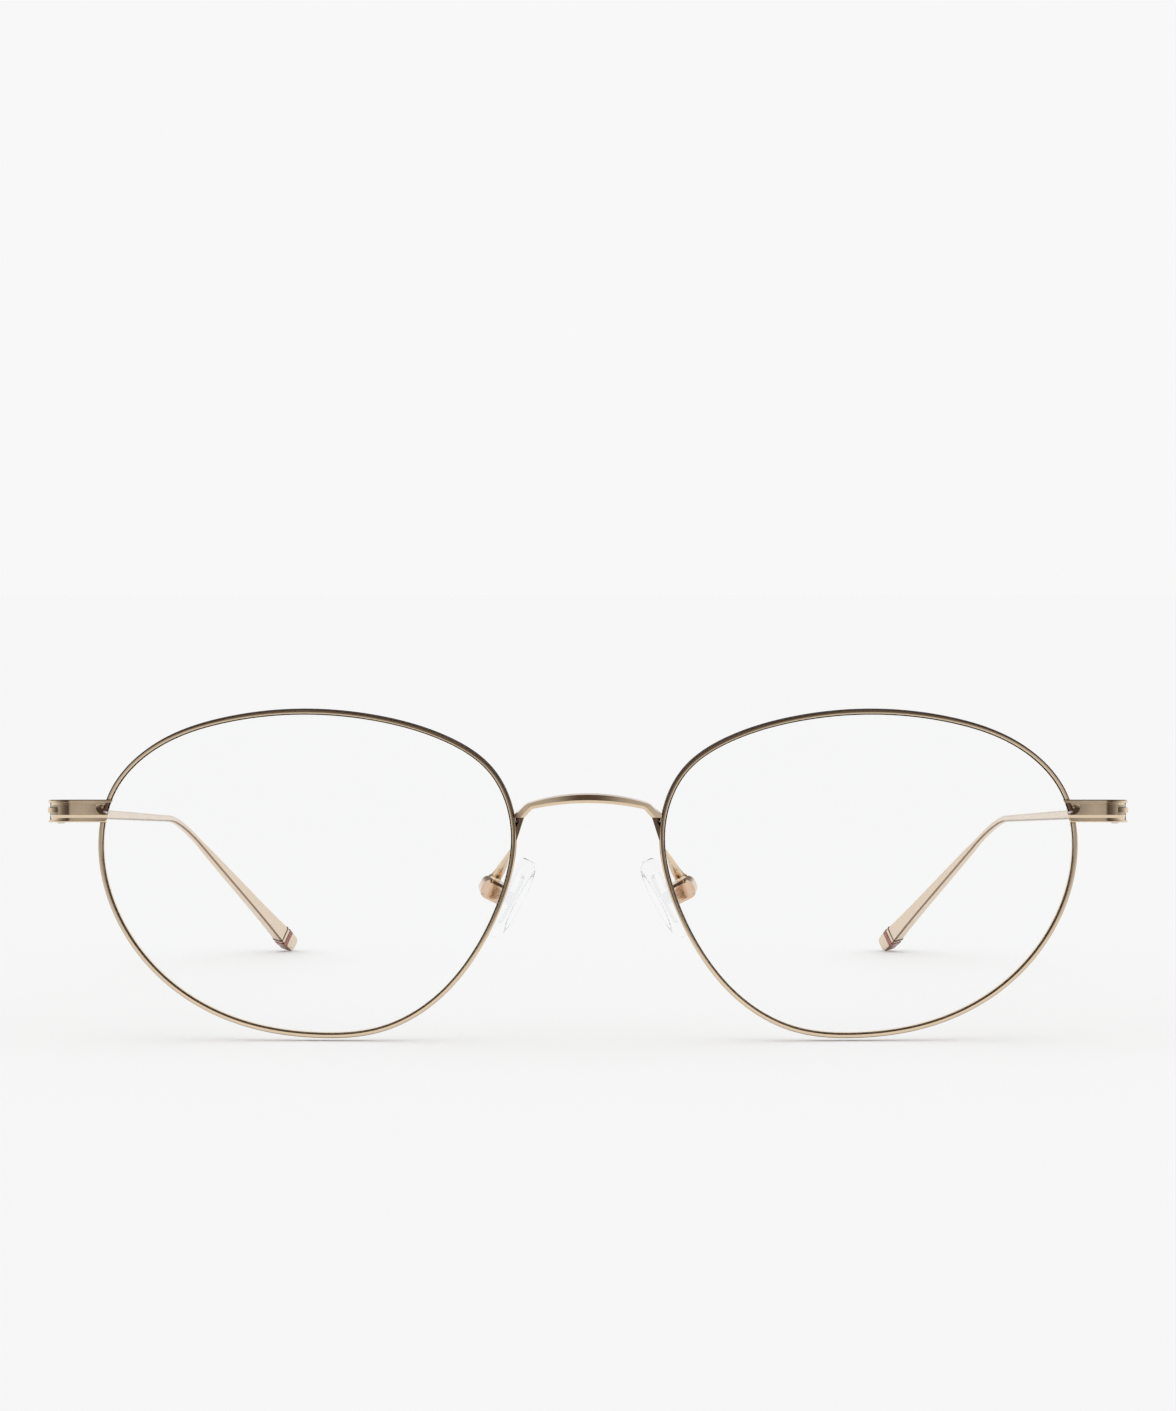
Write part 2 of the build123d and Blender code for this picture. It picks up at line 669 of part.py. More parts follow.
def report(nodes, stand):
    """Prints the places that the joints and the rests need."""
    hinge_at = stand * hinge
    pad_at = stand * pad_place
    up = (hinge_at * Pos(0, 0, 1)).position - hinge_at.position
    back = (pad_at * Pos(0, 1, 0)).position - pad_at.position
    print("left hinge", tuple(hinge_at.position), "axis", tuple(up))
    print("left pad screw", tuple(pad_at.position), "axis", tuple(back))
    for name in ("left_rim", "left_tip_cap", "left_temple", "left_nose_pad", "bridge"):
        print(name, nodes[name].bounding_box())


nodes = assembly()
whole = Compound(children=[Compound(node.solids()) for node in nodes.values()]).bounding_box()
stand = Pos(-whole.center().X, -whole.center().Y, -whole.min.Z)
os.makedirs("parts", exist_ok=True)
nodes = {name: stand * node for name, node in nodes.items()}
for name, node in nodes.items():
    export_step(node, "parts/" + name + ".step")
report(nodes, stand)
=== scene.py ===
"""Oval metal eyeglasses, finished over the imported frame.

Each operator makes one group of pieces, and the panel lists them in order.
Everything is in metres, in the frame's own place.
"""

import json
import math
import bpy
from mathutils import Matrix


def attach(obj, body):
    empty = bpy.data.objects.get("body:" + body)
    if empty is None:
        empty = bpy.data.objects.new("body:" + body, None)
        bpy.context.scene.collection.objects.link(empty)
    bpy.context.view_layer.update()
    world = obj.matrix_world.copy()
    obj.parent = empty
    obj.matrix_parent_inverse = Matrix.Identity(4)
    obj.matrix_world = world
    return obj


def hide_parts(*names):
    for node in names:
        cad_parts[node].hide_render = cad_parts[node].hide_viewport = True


bl_info = {
    "name": "Oval Metal Eyeglasses",
    "version": (1, 0, 0),
    "blender": (4, 5, 0),
    "location": "View3D > Sidebar > Eyeglasses",
    "description": "Builds an oval full-rim metal eyeglasses frame with its studio",
    "category": "Object",
}

import bmesh
import bpy
import numpy as np
from bpy.props import FloatProperty, FloatVectorProperty, IntProperty, PointerProperty
from mathutils import Matrix, Vector

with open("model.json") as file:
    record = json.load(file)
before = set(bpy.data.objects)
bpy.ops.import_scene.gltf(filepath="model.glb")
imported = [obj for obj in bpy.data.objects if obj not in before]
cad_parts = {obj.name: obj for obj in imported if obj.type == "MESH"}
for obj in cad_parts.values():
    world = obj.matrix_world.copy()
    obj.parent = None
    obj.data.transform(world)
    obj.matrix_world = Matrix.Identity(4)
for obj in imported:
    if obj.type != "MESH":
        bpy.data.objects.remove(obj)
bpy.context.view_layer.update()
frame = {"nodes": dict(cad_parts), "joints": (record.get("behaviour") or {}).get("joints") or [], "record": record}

# The sides with their signs along X: shapes are worked out on the left and mirrored
SIDES = {"left": 1.0, "right": -1.0}
JOINTS = {joint["name"]: joint for joint in frame["joints"]}

# The lens's outline, its sphere and its lean
LEAN = math.radians(4.1)
FACE_FORM = math.radians(3.0)
LEANING = Matrix.Rotation(LEAN, 3, "X")
LENS_TURN = LEANING @ Matrix.Rotation(FACE_FORM, 3, "Z")
SPHERE_RADIUS = 0.130
HALF_WIDTH, HALF_HEIGHT = 0.0265, 0.021
HINGE_FROM_LENS = Vector((0.0320, 0.0055764, 0.00762))
EDGE_SHARES = (
    (-1, 0.262), (-0.887, 0.644), (-0.67, 0.836), (-0.367, 0.955),
    (0.014, 1.001), (0.409, 0.943), (0.728, 0.79), (0.951, 0.507),
    (1.015, 0.166), (0.911, -0.336), (0.648, -0.72), (0.325, -0.926),
    (-0.044, -0.999), (-0.359, -0.958), (-0.618, -0.775), (-0.817, -0.477),
    (-0.957, -0.094),
)

# The lens's edge: how far its faces and its bevel's tip reach into the rim
LENS_GRIP, LENS_TIP = 0.00006, 0.0003
LENS_AROUND, LENS_RINGS = 300, 20
LENS_CREASE = math.radians(20)

# The rim: its opening, its groove's floor, and where painted shade darkens its inner wall or is lifted
RIM_OPENING = 0.00012
RIM_FINENESS = 3
RIM_CREASE = math.radians(50)
GROOVE_FLOOR = 0.00005
CORNER_STEPS = 3
LOCK_SHADE_HALF, LOCK_SHADE_REACH = 0.00135, 0.008
NASAL_START, NASAL_FADE = 0.022, 0.008
LOWER_START, LOWER_FADE = 0.028, 0.004
WALL_LIGHTENING = 0.8

# The bridge's feet: what lies this near to a rim goes a little way into it
SEAT_POINTS = 600
SEAT_REACH, SEAT_SINK, SEAT_DEPTH = 0.00035, 0.0001, 0.001

# The temple's sides before and past its bend, and the chamfer between them, which gets a painted dark reflection
BEND_START, BEND_RUN = 0.005, 0.05
INNER_SIDE = (Vector((-1.0, -0.09, 0.0)), Vector((-0.87, -0.43, -0.23)))
LOWER_SIDE = (Vector((0.0, -0.07, -1.0)), Vector((0.39, -0.33, -0.86)))
CHAMFER_SHARE = 0.42

# The tip: its ring, the band of painted groove shade before it, and the cap's lower side with its painted dark
# reflection
RING_REACH, RING_SCALE = 0.00035, 1.025
BAND_AWAY, BAND_WIDTH, BAND_SCALE = 0.0016, 0.00014, 1.006
CAP_DOWN, CAP_FORWARD = -0.55, -0.1

# The pad arm and its collar, from the pad's joint, with half widths and half depths
ARM_PATH = ((-0.00240, -0.00489, 0.00584), (-0.00175, -0.00354, 0.00489),
            (-0.00100, -0.00154, 0.00329), (-0.00009, -0.00026, 0.00180))
ARM_WIDTHS = (0.00015, 0.00026, 0.00056, 0.00074)
ARM_DEPTHS = (0.00035, 0.00038, 0.00042, 0.00046)
ARM_SLOPE = 0.3
COLLAR_PATH = ((-0.00006, -0.000257, 0.001835), (0.00008, -0.000238, 0.00157))
COLLAR_WIDTH, COLLAR_DEPTH = 0.00086, 0.00078
WIRE_STEPS, WIRE_SIDES = 40, 24

# Meshes: merging distances, and the steps of narrow and of wide softened edges
WELD, FINE_WELD = 0.000002, 0.0000005
NARROW_STEPS, WIDE_STEPS = 2, 3

# Surfaces: the plating's cloudier tones, and how much clouds and relief do
CHAMPAGNE_CLOUD = (0.64, 0.48, 0.33)
TEMPLE_CLOUD = (0.70, 0.57, 0.44)
ROSE_CLOUD = (0.62, 0.42, 0.30)
DARK_ROSE_CLOUD = (0.40, 0.25, 0.17)
STEEL_CLOUD = (0.5, 0.46, 0.41)
GROOVE_SHADE_CLOUD = (0.20, 0.14, 0.10)
LENS_TINT = (0.995, 1.0, 0.998)
PAD_TINT = (0.985, 0.988, 0.99)
CORE_TINT = (0.94, 0.94, 0.945)
CLOUD_TINTING, CLOUD_DULLING = 0.35, 0.12
NOISE_MIDDLE = 0.5
PLATING_GRAIN, PLATING_BUMP = 0.05, 0.015
MOTTLE_SHADE, MOTTLE_BUMP = 0.72, 0.02
RELIEF_DEPTH = 0.00002

# A colour mix's factor, colour and result sockets
MIX_FACTOR, MIX_COLOURS, MIX_RESULT = 0, (6, 7), 2

# The floor and the camera, whose lens and sensor are in millimetres
FLOOR_HALF, FLOOR_CELLS = 6.0, 8
FOCAL_LENGTH, SENSOR_WIDTH = 143.494, 36.0
CLIP_START, CLIP_END = 0.01, 30.0

# The light on everything but metal, and the paper's dull surface
WHITE = (1.0, 1.0, 1.0)
PAPER_ROUGHNESS = 0.9

# What metal sees of the paper: it ends in front, and sooner below the camera
DARK_PAPER = (0.095, 0.070, 0.052)
PAPER_END = (-0.34, -0.10)
CAMERA_BESIDE, CAMERA_BEHIND = (0.012, 0.05), (-0.19, -0.12)

# What metal sees of the room: a table's slanting edge, and a light strip at each side
DARK_ROOM = (0.065, 0.046, 0.034)
TABLE_SLOPE, TABLE_EDGE, TABLE_FADE = 0.19, 0.085, (-0.2, 0.2)
STRIP_RISE, STRIP_TOP, STRIP_LIGHT = (0.07, 0.14), (0.2, 0.35), 0.66
STRIP_FALLS = ((0.45, 0.146, 0.175), (0.55, 0.22, 0.32))


def colour_property(name, description, default):
    """A colour that a user may change."""
    return FloatVectorProperty(name=name, description=description, default=default,
                               subtype="COLOR", size=3, min=0.0, max=1.0)


def length_property(name, description, default):
    """A length in metres that a user may change."""
    return FloatProperty(name=name, description=description, default=default,
                         unit="LENGTH", min=0.0, precision=5)


class EyewearFinishes(bpy.types.PropertyGroup):
    """Colours of the plating, the trim and the studio."""

    plating: colour_property("Plating", "Champagne gold of the front", (0.82, 0.66, 0.48))
    temple: colour_property("Temple plating", "Paler gold of the temples", (0.81, 0.675, 0.535))
    # Painted shade on the rim's inner wall and under the end pieces
    inner_wall_shade: colour_property("Rim wall", "Plating in the shade of the lens", (0.17, 0.10, 0.07))
    # Painted shade: a dark reflection painted along the temples' lower edges and under the tip caps
    edge_shade: colour_property("Edge shade", "Temple plating along its lower edges",
                                (0.33, 0.22, 0.155))
    rose: colour_property("Rose plating", "Rose gold of the pad boxes", (0.80, 0.59, 0.44))
    dark_rose: colour_property("Dark rose", "Rose gold of the pad screws", (0.60, 0.40, 0.28))
    steel: colour_property("Screw steel", "Steel of the small screws", (0.74, 0.69, 0.61))
    # Painted shadow: a dark band where a groove's shade would fall before each tip ring
    groove: colour_property("Groove", "Shaded line before each tip ring", (0.28, 0.19, 0.13))
    enamel: colour_property("Tip enamel", "Enamel ring before each tip", (0.31, 0.07, 0.04))
    washer: colour_property("Washer", "Nylon of the hinge washers", (0.78, 0.74, 0.66))
    paper: colour_property("Paper", "Floor and backdrop", (0.939, 0.939, 0.939))


class EyewearSizes(bpy.types.PropertyGroup):
    """Sizes of the finish and of the view."""

    rim_depth: length_property("Rim depth", "Front to back size of the rim wire", 0.0014)
    rim_inside: length_property("Rim inside", "From the lens edge inwards", 0.00029)
    rim_outside: length_property("Rim outside", "From the lens edge outwards", 0.00041)
    rim_bevel: length_property("Rim bevel", "Bevel along the rim's outer corners", 0.00024)
    rim_groove: length_property("Rim groove", "Width of the groove that holds the lens", 0.0008)
    lens_depth: length_property("Lens thickness", "Front to back size of the lens", 0.0012)
    corner: length_property("Corner round", "Rounding of the rim's corners", 0.00007)
    soften: length_property("Edge softness", "Width of the softened edges", 0.00005)
    camera_back: length_property("Camera distance", "Camera in front of the origin", 0.66959)
    camera_height: length_property("Camera height", "Camera above the floor", 0.063155)
    camera_pitch: FloatProperty(name="Camera pitch", description="How far the camera looks down",
                                default=math.radians(1.889), unit="ROTATION")
    rim_points: IntProperty(name="Rim points", description="Points along each rim",
                            default=420, min=60)


# Nodes

def feed(tree, slot, value):
    """Links a socket to an input, or sets the input to a plain value."""
    if isinstance(value, bpy.types.NodeSocket):
        tree.links.new(value, slot)
    else:
        slot.default_value = value


def node(tree, kind, **values):
    """A node, with its settings and inputs filled in."""
    made = tree.nodes.new(kind)
    for key, value in values.items():
        if hasattr(made, key):
            setattr(made, key, value)
        else:
            feed(tree, made.inputs[key.replace("_", " ")], value)
    return made


def math_node(tree, operation, *values, kind="ShaderNodeMath"):
    """A math node's result for its values or sockets."""
    made = node(tree, kind, operation=operation)
    for slot, value in zip(made.inputs, values):
        feed(tree, slot, value)
    return made.outputs[0]


def mix_colour(tree, factor, *colours):
    """A mix of two colours or sockets."""
    made = node(tree, "ShaderNodeMix", data_type="RGBA")
    feed(tree, made.inputs[MIX_FACTOR], factor)
    for slot, colour in zip(MIX_COLOURS, colours):
        plain = not isinstance(colour, bpy.types.NodeSocket)
        feed(tree, made.inputs[slot], (*colour[:3], 1.0) if plain else colour)
    return made.outputs[MIX_RESULT]


def eased(tree, value, low, high):
    """A smooth step from 0 at low to 1 at high."""
    step = node(tree, "ShaderNodeMapRange", interpolation_type="SMOOTHSTEP", Value=value,
                From_Min=low, From_Max=high)
    return step.outputs["Result"]


def object_place(tree):
    """The place on the object that a pattern reads."""
    return node(tree, "ShaderNodeTexCoord").outputs["Object"]


# Shader groups

def new_group(name, inputs, outputs):
    """A shader node group with named sockets."""
    group = bpy.data.node_groups.new(name, "ShaderNodeTree")
    for label, kind, value in inputs:
        socket = group.interface.new_socket(label, in_out="INPUT", socket_type=kind)
        socket.default_value = value
    for label, kind in outputs:
        group.interface.new_socket(label, in_out="OUTPUT", socket_type=kind)
    return group


def plating_group():
    """Fine polishing lines and a slow cloudiness over plated metal."""
    group = new_group("Plating Finish",
                      [("Base", "NodeSocketColor", (0.8, 0.7, 0.5, 1.0)),
                       ("Shade", "NodeSocketColor", (0.6, 0.5, 0.4, 1.0)),
                       ("Roughness", "NodeSocketFloat", 0.2),
                       ("Grain Scale", "NodeSocketFloat", 2500.0),
                       ("Grain", "NodeSocketFloat", 0.05)],
                      [("Color", "NodeSocketColor"), ("Roughness", "NodeSocketFloat"),
                       ("Height", "NodeSocketFloat")])
    given = node(group, "NodeGroupInput").outputs
    place = object_place(group)
    cloud = node(group, "ShaderNodeTexNoise", Vector=place, Scale=160.0, Detail=3.0)
    grain = node(group, "ShaderNodeTexNoise", Vector=place, Scale=given["Grain Scale"],
                 Detail=2.0, Roughness=0.6)
    soft = math_node(group, "MULTIPLY", cloud.outputs["Fac"], CLOUD_TINTING)
    fine = math_node(group, "SUBTRACT", grain.outputs["Fac"], NOISE_MIDDLE)
    slow = math_node(group, "SUBTRACT", cloud.outputs["Fac"], NOISE_MIDDLE)
    rough = math_node(group, "ADD", given["Roughness"],
                      math_node(group, "MULTIPLY", fine, given["Grain"]))
    rough = math_node(group, "ADD", rough, math_node(group, "MULTIPLY", slow, CLOUD_DULLING))
    node(group, "NodeGroupOutput", Color=mix_colour(group, soft, given["Base"], given["Shade"]),
         Roughness=rough, Height=grain.outputs["Fac"])
    return group


def moulding_group():
    """Slight unevenness of a moulded or polished surface, as a roughness and a height."""
    group = new_group("Moulded Surface",
                      [("Scale", "NodeSocketFloat", 600.0), ("Low", "NodeSocketFloat", 0.04),
                       ("High", "NodeSocketFloat", 0.1)],
                      [("Roughness", "NodeSocketFloat"), ("Height", "NodeSocketFloat")])
    given = node(group, "NodeGroupInput").outputs
    swirl = node(group, "ShaderNodeTexNoise", Vector=object_place(group), Scale=given["Scale"],
                 Detail=2.0)
    span = math_node(group, "SUBTRACT", given["High"], given["Low"])
    rough = math_node(group, "ADD", given["Low"],
                      math_node(group, "MULTIPLY", swirl.outputs["Fac"], span))
    node(group, "NodeGroupOutput", Roughness=rough, Height=swirl.outputs["Fac"])
    return group


# Finishes

def blank_material(name):
    """A node material with its Principled shader."""
    material = bpy.data.materials.new(name)
    material.use_nodes = True
    return material, material.node_tree, material.node_tree.nodes["Principled BSDF"]


def surface(tree, shader, bump, group, **values):
    """Places a shader group in a material and lets it roughen the surface."""
    made = node(tree, "ShaderNodeGroup", node_tree=group)
    for key, value in values.items():
        made.inputs[key].default_value = value
    relief = node(tree, "ShaderNodeBump", Strength=bump, Distance=RELIEF_DEPTH,
                  Height=made.outputs["Height"])
    tree.links.new(made.outputs["Roughness"], shader.inputs["Roughness"])
    tree.links.new(relief.outputs["Normal"], shader.inputs["Normal"])
    return made


def plated(name, base, cloud, roughness, shade=None):
    """Plated metal with a fine polish, and painted shade in another colour on faces marked as shaded."""
    material, tree, shader = blank_material(name)
    made = surface(tree, shader, PLATING_BUMP,
                   bpy.data.node_groups.get("Plating Finish") or plating_group(),
                   Base=(*base, 1.0), Shade=(*cloud, 1.0), Roughness=roughness,
                   Grain=PLATING_GRAIN)
    colour = made.outputs["Color"]
    # Painted shade: faces marked as shaded take the shade colour
    if shade:
        mark = node(tree, "ShaderNodeAttribute", attribute_name="shaded")
        colour = mix_colour(tree, mark.outputs["Fac"], colour, shade)
    shader.inputs["Metallic"].default_value = 1.0
    tree.links.new(colour, shader.inputs["Base Color"])
    return material


def clear(name, tint, ior, low, high, bump, scale=600.0):
    """Clear lens or pad material, whose roughness lies between two values."""
    material, tree, shader = blank_material(name)
    surface(tree, shader, bump,
            bpy.data.node_groups.get("Moulded Surface") or moulding_group(),
            Scale=scale, Low=low, High=high)
    shader.inputs["Base Color"].default_value = (*tint, 1.0)
    shader.inputs["Transmission Weight"].default_value = 1.0
    shader.inputs["IOR"].default_value = ior
    return material


def coated(name, colour, roughness, coat):
    """Enamel or nylon: a plain body colour with mottling."""
    material, tree, shader = blank_material(name)
    mottle = node(tree, "ShaderNodeTexNoise", Vector=object_place(tree), Scale=900.0, Detail=3.0)
    darker = [channel * MOTTLE_SHADE for channel in colour]
    relief = node(tree, "ShaderNodeBump", Strength=MOTTLE_BUMP, Distance=RELIEF_DEPTH,
                  Height=mottle.outputs["Fac"])
    tree.links.new(mix_colour(tree, mottle.outputs["Fac"], colour, darker),
                   shader.inputs["Base Color"])
    tree.links.new(relief.outputs["Normal"], shader.inputs["Normal"])
    shader.inputs["Roughness"].default_value = roughness
    shader.inputs["Coat Weight"].default_value = coat
    return material


def front_plating(look):
    """Champagne gold of the bridge, the end pieces, the hinge leaves and the pad arms."""
    return plated("Champagne plating", look.plating, CHAMPAGNE_CLOUD, roughness=0.12)


def rim_plating(look):
    """Champagne gold of the rims, with painted shade on the wall that turns in to the lens."""
    return plated("Rim plating", look.plating, CHAMPAGNE_CLOUD, roughness=0.13,
                  shade=look.inner_wall_shade)


def temple_plating(look):
    """Paler, duller gold of the temples and their caps, with a painted dark reflection along the lower edges."""
    return plated("Pale temple plating", look.temple, TEMPLE_CLOUD, roughness=0.24,
                  shade=look.edge_shade)


def rose_plating(look):
    """Rose gold of the pad boxes."""
    return plated("Rose plating", look.rose, ROSE_CLOUD, roughness=0.14)


def dark_rose_plating(look):
    """Darker rose gold of the pad screws."""
    return plated("Dark rose plating", look.dark_rose, DARK_ROSE_CLOUD, roughness=0.16)


def screw_steel(look):
    """Steel of the closing screws and the hinge screws."""
    return plated("Screw steel", look.steel, STEEL_CLOUD, roughness=0.22)


def painted_groove_shade(look):
    """Painted shade of a groove, on the band before each tip ring."""
    return plated("Painted groove shade", look.groove, GROOVE_SHADE_CLOUD, roughness=0.3)


def tip_enamel(look):
    """Brownish enamel of the tip rings."""
    return coated("Tip enamel", look.enamel, roughness=0.25, coat=0.5)


def washer_nylon(look):
    """Pale nylon of the hinge washers."""
    return coated("Washer nylon", look.washer, roughness=0.45, coat=0.0)


def coated_lens(look):
    """Clear lens whose coating leaves hardly a reflection."""
    return clear("Coated lens", LENS_TINT, ior=1.12, low=0.0, high=0.01, bump=0.002, scale=60.0)


def pad_silicone(look):
    """Clear soft silicone of the nose pads."""
    return clear("Clear silicone", PAD_TINT, ior=1.06, low=0.01, high=0.05, bump=0.05)


def pad_core(look):
    """Clear stiff plastic of the cores inside the pads."""
    return clear("Clear core", CORE_TINT, ior=1.11, low=0.03, high=0.10, bump=0.05)


FINISHES = {
    "front": front_plating, "rim": rim_plating, "temple": temple_plating,
    "rose": rose_plating, "dark rose": dark_rose_plating, "steel": screw_steel,
    "groove": painted_groove_shade, "enamel": tip_enamel, "nylon": washer_nylon,
    "lens": coated_lens, "pad": pad_silicone, "core": pad_core,
}
MATERIALS = {}


def finish(name):
    """The named finish, made when it is first asked for."""
    if name not in MATERIALS:
        MATERIALS[name] = FINISHES[name](bpy.context.scene.eyewear_finishes)
    return MATERIALS[name]


# Pieces and their nodes

def body_of(name):
    """The CAD body that a node belongs to."""
    for body, members in frame["record"]["behaviour"]["bodies"].items():
        if name in members:
            return body
    raise ValueError("no body holds " + name)


def finished(piece, name):
    """Puts a piece on its body in place of the CAD node that it stands for."""
    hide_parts(name)
    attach(piece, body_of(name))
    return piece


def placed(name, data):
    """An object for a mesh, a curve or a camera, in the scene."""
    made = bpy.data.objects.new(name, data)
    bpy.context.scene.collection.objects.link(made)
    return made


def see_through(piece):
    """Lets light pass a clear piece as if it were not there."""
    piece.visible_shadow = piece.visible_diffuse = False


# Meshes

def mesh_of(build, name):
    """A new mesh of what has been built."""
    mesh = bpy.data.meshes.new(name)
    build.to_mesh(mesh)
    build.free()
    return mesh


def sided(spot, flip):
    """A place or a direction, mirrored if the side's sign is negative."""
    return Vector((flip * spot.x, spot.y, spot.z))


def clamped(share):
    """A share held between 0 and 1."""
    return min(max(share, 0.0), 1.0)


def crease(build, limit):
    """Shades edges sharp where their faces meet at more than an angle."""
    for edge in build.edges:
        edge.smooth = not (edge.is_manifold and edge.calc_face_angle() > limit)


def merged_copy(name, flat, sharp):
    """A CAD node's shape with its corners merged and its flat faces whole."""
    build = bmesh.new()
    build.from_mesh(frame["nodes"][name].data)
    bmesh.ops.remove_doubles(build, verts=build.verts, dist=WELD)
    bmesh.ops.dissolve_limit(build, angle_limit=math.radians(flat), verts=build.verts,
                             edges=build.edges)
    for face in build.faces:
        face.smooth = True
    crease(build, math.radians(sharp))
    mesh = mesh_of(build, name + "_finish")
    for layer in ("custom_normal", "UVMap"):
        if layer in mesh.attributes:
            mesh.attributes.remove(mesh.attributes[layer])
    return mesh


def refined(name, look, soften=1.0, flat=0.4, sharp=28.0):
    """A CAD node again, with smooth shading and edges softened by a share of the usual width."""
    mesh = merged_copy(name, flat, sharp)
    mesh.materials.clear()
    mesh.materials.append(finish(look))
    piece = placed(name + "_finish", mesh)
    if soften:
        bevel = piece.modifiers.new("Softened edges", "BEVEL")
        bevel.width = bpy.context.scene.eyewear_sizes.soften * soften
        bevel.segments = NARROW_STEPS if soften <= 1.0 else WIDE_STEPS
        bevel.limit_method = "ANGLE"
        bevel.angle_limit = math.radians(sharp)
        bevel.harden_normals = True
    return finished(piece, name)


def shade_faces(mesh, wanted):
    """Marks the faces that a test picks for painted shade."""
    build = bmesh.new()
    build.from_mesh(mesh)
    picked = [float(wanted(face)) for face in build.faces]
    build.free()
    mark = mesh.attributes.new("shaded", "FLOAT", "FACE")
    mark.data.foreach_set("value", picked)


def add_mesh(mesh, other, material=None):
    """Joins another mesh to a mesh, in a finish of its own if one is given."""
    build = bmesh.new()
    build.from_mesh(mesh)
    count = len(build.faces)
    build.from_mesh(other)
    if material:
        mesh.materials.append(material)
        build.faces.ensure_lookup_table()
        for face in build.faces[count:]:
            face.material_index = len(mesh.materials) - 1
    build.to_mesh(mesh)
    build.free()
    bpy.data.meshes.remove(other)


# Lens outline

def periodic_spline(points, count):
    """Evenly spaced points on the smooth closed curve through the given ones."""
    size = len(points)
    steps = np.linalg.norm(np.roll(points, -1, axis=0) - points, axis=1)
    system = np.zeros((size, size))
    right = np.zeros((size, 3))
    for here in range(size):
        before, after = (here - 1) % size, (here + 1) % size
        system[here, before] += steps[before]
        system[here, here] += 2 * (steps[before] + steps[here])
        system[here, after] += steps[here]
        right[here] = 6 * ((points[after] - points[here]) / steps[here]
                           - (points[here] - points[before]) / steps[before])
    bend = np.linalg.solve(system, right)
    knots = np.concatenate([[0.0], np.cumsum(steps)])
    found = []
    for way in np.linspace(0, knots[-1], count, endpoint=False):
        here = min(int(np.searchsorted(knots, way, side="right")) - 1, size - 1)
        after, step = (here + 1) % size, steps[here]
        a, b = (knots[here + 1] - way) / step, (way - knots[here]) / step
        found.append(a * points[here] + b * points[after]
                     + ((a ** 3 - a) * bend[here] + (b ** 3 - b) * bend[after]) * step ** 2 / 6)
    return np.array(found)


def sag(x, z):
    """How far the lens's sphere lies behind its middle."""
    return SPHERE_RADIUS - math.sqrt(SPHERE_RADIUS ** 2 - x ** 2 - z ** 2)


def flat_outline():
    """The given points of the lens edge, before they bend back on the sphere."""
    return [(across * HALF_WIDTH, 0.0, up * HALF_HEIGHT) for across, up in EDGE_SHARES]


def outward_ways(edge, axis):
    """Unit vectors square to a closed edge and to an axis, away from the edge's middle."""
    run = np.roll(edge, -1, axis=0) - np.roll(edge, 1, axis=0)
    ways = np.cross(np.array(axis), run)
    ways /= np.linalg.norm(ways, axis=1)[:, None]
    return -ways if ways[0] @ (edge[0] - edge.mean(0)) < 0 else ways


def lens_edge(count):
    """The left lens edge round its middle, and the way that its axis points back."""
    points = [(x, sag(x, z), z) for x, _, z in flat_outline()]
    edge = periodic_spline(np.array(points), count)
    return edge @ np.array(LENS_TURN).T, LENS_TURN @ Vector((0.0, 1.0, 0.0))


def lens_centre():
    """Where the left lens's middle lies, worked out from the hinge beside it."""
    return Vector(JOINTS["left_temple_fold"]["pos_m"]) - LEANING @ HINGE_FROM_LENS


def open_rim_path(count, gap):
    """The rim's path from one side of its opening to the other, in place."""
    edge, axis = lens_edge(count)
    edge = edge + np.array(lens_centre())
    hinge = JOINTS["left_temple_fold"]
    above = (edge - np.array(hinge["pos_m"])) @ np.array(hinge["axis"])
    outer = edge[:, 0] > edge[:, 0].mean()
    inside = outer & (np.abs(above) < gap / 2)
    if not inside.any():
        inside = np.zeros(len(edge), bool)
        inside[np.argmin(np.where(outer, np.abs(above), np.inf))] = True
    last = max(index for index in range(len(edge))
               if inside[index] and not inside[(index + 1) % len(edge)])
    order = [(last + 1 + step) % len(edge) for step in range(len(edge))]
    return [edge[index] for index in order if not inside[index]], axis


# Rims

RIM_INPUTS = (
    ("Path", "NodeSocketGeometry"), ("Profile", "NodeSocketObject"),
    ("Lens Axis", "NodeSocketVector"), ("Inner Wall", "NodeSocketFloat"),
    ("Inner Fade", "NodeSocketFloat"), ("Corner Radius", "NodeSocketFloat"),
    ("Corner Steps", "NodeSocketInt"), ("Finish", "NodeSocketMaterial"),
)


